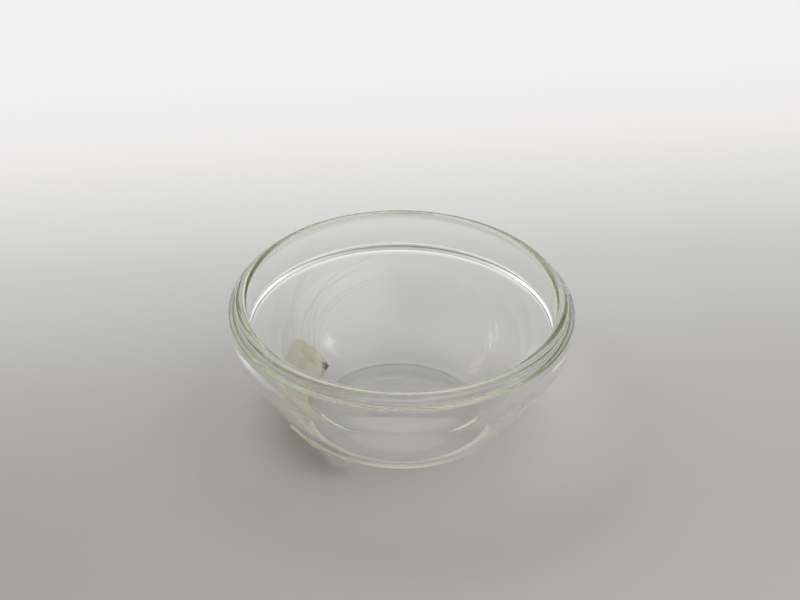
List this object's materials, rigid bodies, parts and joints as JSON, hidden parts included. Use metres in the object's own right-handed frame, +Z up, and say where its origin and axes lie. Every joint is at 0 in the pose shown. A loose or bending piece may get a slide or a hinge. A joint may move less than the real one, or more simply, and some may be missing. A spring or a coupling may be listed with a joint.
{
  "type": "glass prep bowl",
  "caption": "Small clear pressed glass prep bowl with a fat round lip above a stepped collar, a smooth inside and the torn remains of a paper label low on one side.",
  "frame": {"origin": "centre of the foot ring, on the surface that the bowl stands on", "axes": "+Z up along the axis of the bowl; the bowl is seen in the picture from -Y, with +X to the right"},
  "size_m": [0.09, 0.09, 0.0391],
  "materials": {
    "clear_glass": "fire-polished pressed soda-lime glass with a faint green tint",
    "label_paper": "torn, wrinkled cream label paper"
  },
  "bodies": {
    "root": {"bowl": "clear_glass", "paper_label": "label_paper"}
  },
  "joints": []
}
